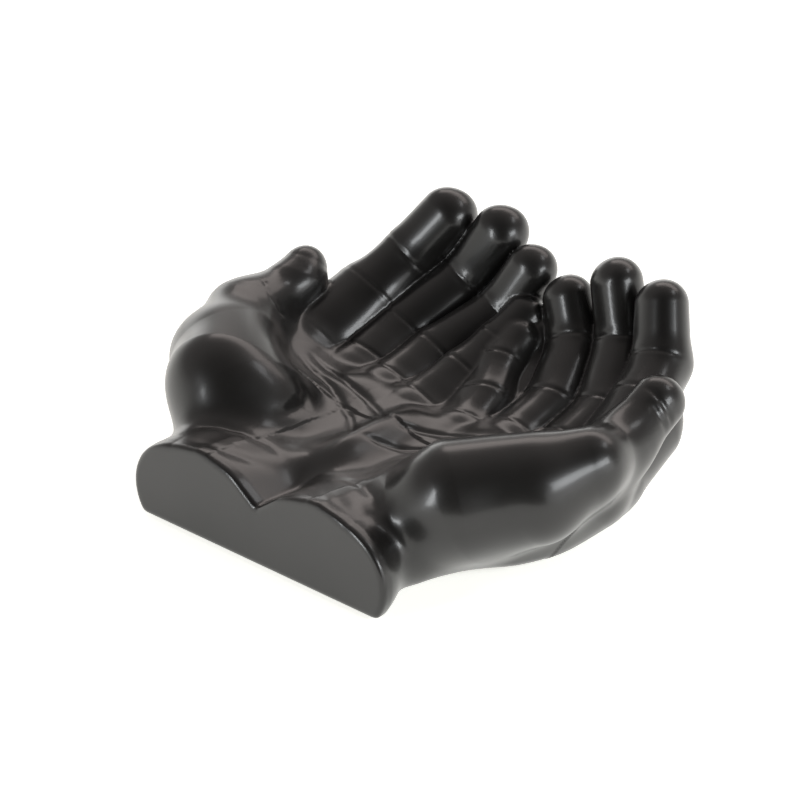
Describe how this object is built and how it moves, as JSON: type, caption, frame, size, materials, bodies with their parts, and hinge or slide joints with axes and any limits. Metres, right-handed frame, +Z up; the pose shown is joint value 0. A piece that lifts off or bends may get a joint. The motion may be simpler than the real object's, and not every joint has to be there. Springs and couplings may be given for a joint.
{
  "type": "cupped hands dish",
  "caption": "Decorative dish in the shape of two open hands held side by side, palms up, cut flat across the wrists, in satin black glaze on round foot pads",
  "frame": {"origin": "under the middle of the dish, at the bottom of the foot pads", "axes": "+X across the two hands to the hand whose little finger lies on top, +Y from the flat wrist face to the fingertips, +Z up out of the palms"},
  "size_m": [0.2034, 0.1734, 0.08],
  "materials": {
    "satin_black_glaze": "satin",
    "pad_rubber": "matte"
  },
  "bodies": {
    "root": {"cupped_hands": "satin_black_glaze", "foot_pad_front_left": "pad_rubber", "foot_pad_front_right": "pad_rubber", "foot_pad_rear_left": "pad_rubber", "foot_pad_rear_right": "pad_rubber"}
  },
  "joints": []
}
